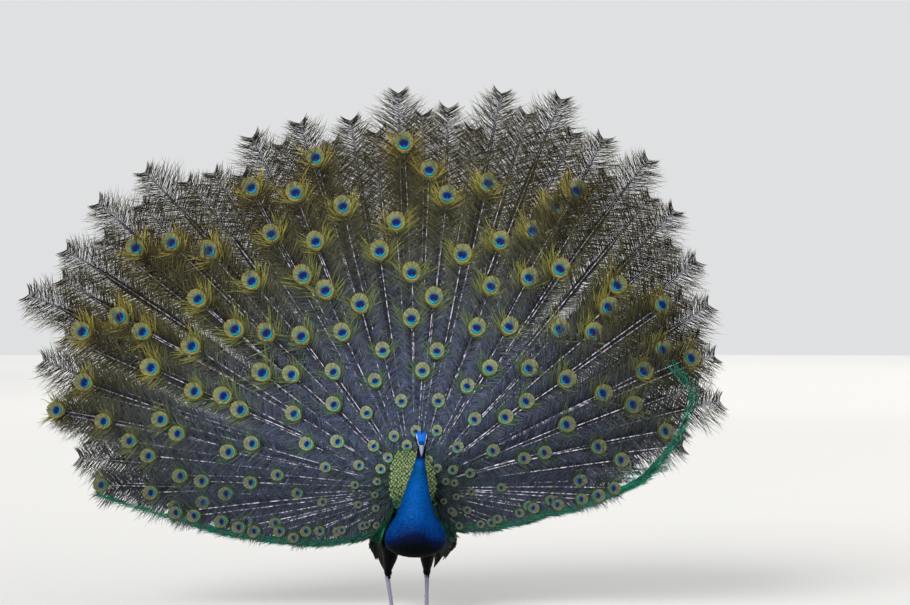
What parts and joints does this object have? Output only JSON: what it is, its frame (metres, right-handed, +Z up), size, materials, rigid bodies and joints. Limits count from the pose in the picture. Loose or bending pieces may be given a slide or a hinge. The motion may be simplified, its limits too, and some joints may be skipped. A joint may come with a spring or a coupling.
{
  "type": "peacock in display, life-size model",
  "caption": "Still life-size male Indian peafowl standing with its train raised in a full fan, neck drawn up and head bowed to the front.",
  "frame": {"origin": "on the floor, under the middle of the bird's box, fan included", "axes": "+Z up, the bird faces -Y, and its left side is towards +X"},
  "size_m": [2.3476, 0.4408, 1.79],
  "materials": {
    "plumage_blue": "satin",
    "plumage_black": "satin",
    "saddle": "satin",
    "wing": "satin",
    "flight": "matte",
    "tail": "matte",
    "train": "satin",
    "sword": "satin",
    "down": "matte",
    "crest": "satin",
    "scute": "satin",
    "bill": "satin",
    "eye": "gloss"
  },
  "bodies": {
    "root": {"head": "plumage_blue", "neck_upper": "plumage_blue", "neck_lower": "plumage_blue", "trunk": "plumage_blue", "thigh_left": "plumage_black", "thigh_right": "plumage_black", "eye_left": "eye", "eye_right": "eye", "bill_upper": "bill", "bill_lower": "bill", "crest": "crest", "shank_left": "scute", "shank_right": "scute", "foot_left": "scute", "foot_right": "scute", "saddle": "saddle", "wing_left": "wing", "wing_right": "wing", "flight_left": "flight", "flight_right": "flight", "undertail": "down", "tail_left": "tail", "tail_right": "tail", "sword_feathers_right": "sword", "train_right": "train", "train_upper_right": "train", "train_top": "train", "train_upper_left": "train", "train_left": "train", "sword_feathers_left": "sword"}
  },
  "joints": []
}
